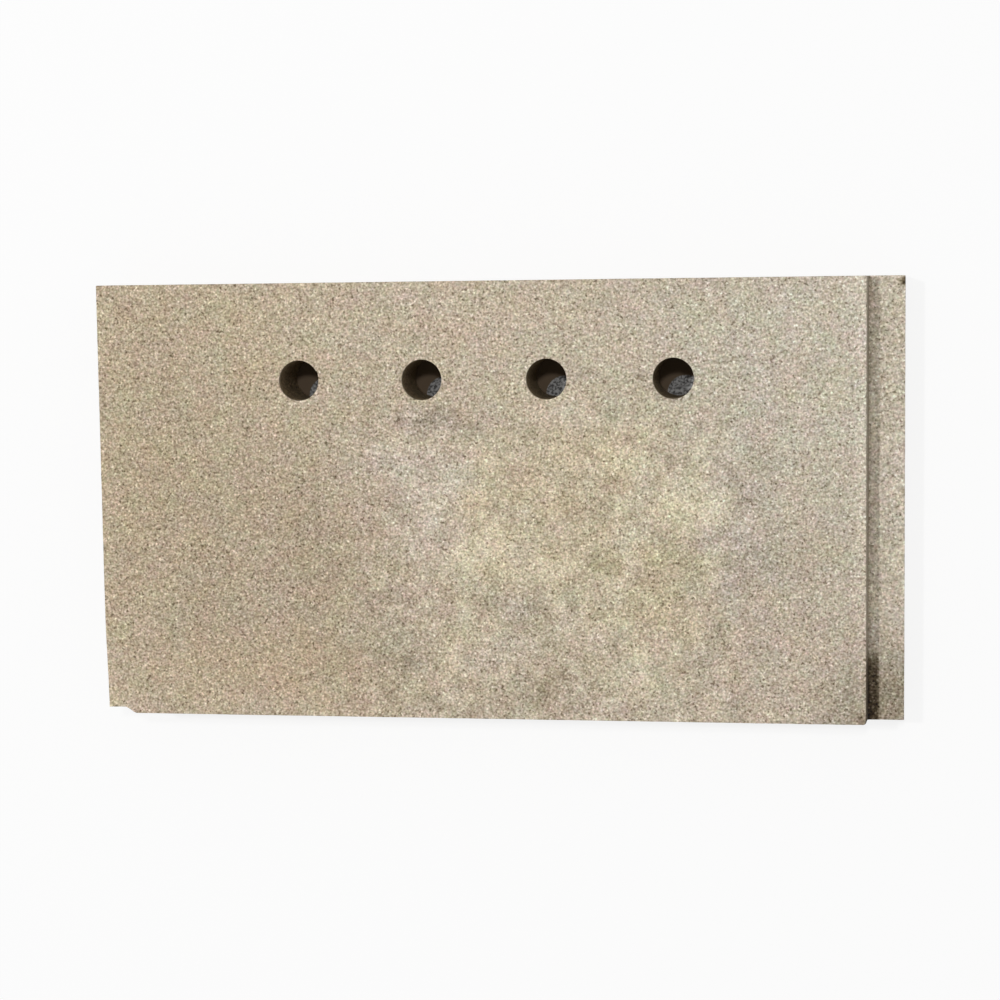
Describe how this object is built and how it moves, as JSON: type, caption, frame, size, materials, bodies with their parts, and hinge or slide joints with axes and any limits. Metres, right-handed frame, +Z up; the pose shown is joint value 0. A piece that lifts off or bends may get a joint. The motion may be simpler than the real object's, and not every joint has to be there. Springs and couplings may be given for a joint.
{
  "type": "vermiculite fire brick",
  "caption": "Rectangular vermiculite fire brick for a stove lining, with a row of round air holes near one long edge, a lap rebate along one end and a small chip at a corner.",
  "frame": {"origin": "middle of the back face's bounding rectangle, on the plane that the brick lies on", "axes": "+X along the length towards the lap rebate, +Y towards the edge nearest the air holes, +Z up out of the face that looks into the fire"},
  "size_m": [0.323, 0.175, 0.03],
  "materials": {
    "vermiculite": "dry matt pressed flakes"
  },
  "bodies": {
    "root": {"fire_brick": "vermiculite"}
  },
  "joints": []
}
